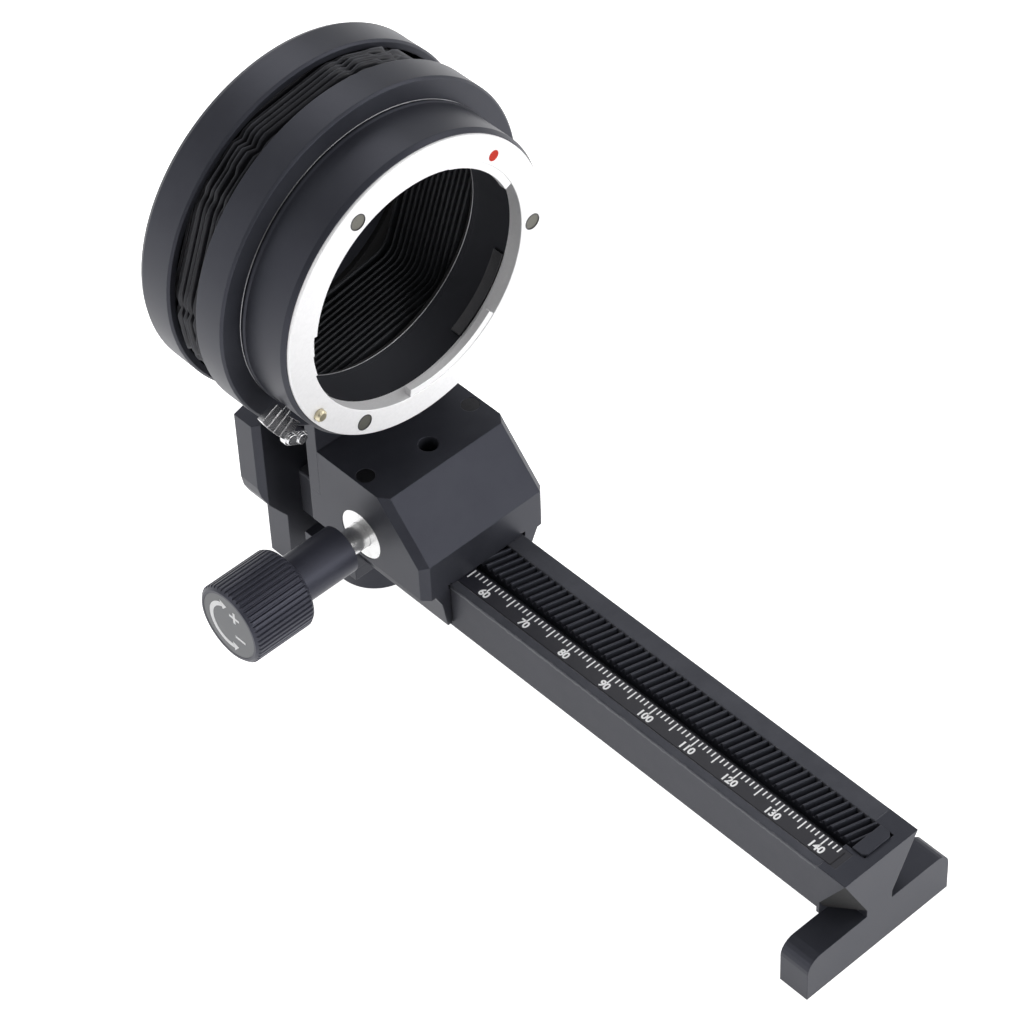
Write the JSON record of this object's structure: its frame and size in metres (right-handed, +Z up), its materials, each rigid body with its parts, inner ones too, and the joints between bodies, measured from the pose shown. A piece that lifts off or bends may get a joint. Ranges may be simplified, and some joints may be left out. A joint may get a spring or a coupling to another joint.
{
  "type": "macro bellows",
  "caption": "Compact close-up bellows: a geared focusing rail that carries the camera end slides through a carriage that holds the lens end, with pleated cloth between two round standards.",
  "frame": {"origin": "centre of the tripod socket's mouth, at the level that the object stands on", "axes": "+Z up; the lens looks along -Y, the camera sits at +Y; the focusing knob is on the -X side"},
  "size_m": [0.0785, 0.1465, 0.1121],
  "materials": {
    "black_anodised": "satin black anodised alloy with a fine bead-blasted grain",
    "black_knob": "satin black anodised, turned",
    "silver_mount": "satin chromed brass",
    "bright_steel": "turned bright steel",
    "lever_chrome": "bright chrome",
    "brass": "plain turned brass",
    "screw_steel": "plain steel",
    "black_steel": "blackened steel",
    "red_enamel": "red enamel",
    "bellows_cloth": "black coated bellows cloth",
    "frame_board": "black fibre board",
    "slide_plastic": "natural acetal",
    "label_grey": "grey anodised disc with white marks",
    "scale_dark": "black anodised strip with white marks",
    "spring_steel": "hardened strip and wire"
  },
  "bodies": {
    "carriage": {"carriage_block": "black_anodised", "guide_pads": "slide_plastic", "gib_screws": "black_steel", "tripod_plate": "black_anodised", "tripod_insert": "brass", "tripod_plate_screws": "black_steel", "front_standard": "black_anodised", "front_standard_screws": "black_steel", "front_barrel": "black_anodised", "lens_mount_ring": "silver_mount", "lens_mount_screws": "screw_steel", "index_dot": "red_enamel", "bayonet_springs": "spring_steel", "front_bellows_frame": "frame_board", "bellows": "bellows_cloth", "left_bush": "bright_steel", "right_bush": "bright_steel", "bush_pins": "black_steel", "lock_spring": "spring_steel"},
    "rail": {"rail": "black_anodised", "rail_pins": "screw_steel", "rack": "black_anodised", "rack_screws": "screw_steel", "scale_strip": "scale_dark", "end_foot": "black_anodised", "rear_standard": "black_anodised", "rear_standard_screws": "black_steel", "rear_bellows_frame": "frame_board", "camera_mount": "silver_mount", "camera_mount_screws": "screw_steel", "camera_index_dot": "red_enamel"},
    "focus_shaft": {"pinion_shaft": "bright_steel", "pinion": "bright_steel", "pinion_screw": "black_steel", "focus_knob": "black_knob", "knob_label": "label_grey", "knob_grub_screw": "black_steel", "shaft_washer": "slide_plastic", "shaft_clip": "spring_steel"},
    "lens_release": {"lens_lock_pin": "brass", "release_lever": "lever_chrome", "release_screws": "lever_chrome"}
  },
  "joints": [
    {"name": "rail_slide", "type": "slide", "parent": "carriage", "child": "rail", "axis": [0, 1, 0], "range_m": [0, 0.088], "deforming": ["bellows"]},
    {"name": "focus_turn", "type": "hinge", "parent": "carriage", "child": "focus_shaft", "pos_m": [-0.0335, -0.0144, 0.0272], "axis": [1, 0, 0], "range_deg": [0, 918]},
    {"name": "lens_release_slide", "type": "slide", "parent": "carriage", "child": "lens_release", "axis": [0, 1, 0], "range_m": [0, 0.0016], "stiffness_N_per_m": 300, "springref_m": -0.003, "deforming": ["lock_spring"]}
  ],
  "couplings": [
    {"joint": "focus_turn", "follows": "rail_slide", "rad_per_m": 181.82}
  ]
}
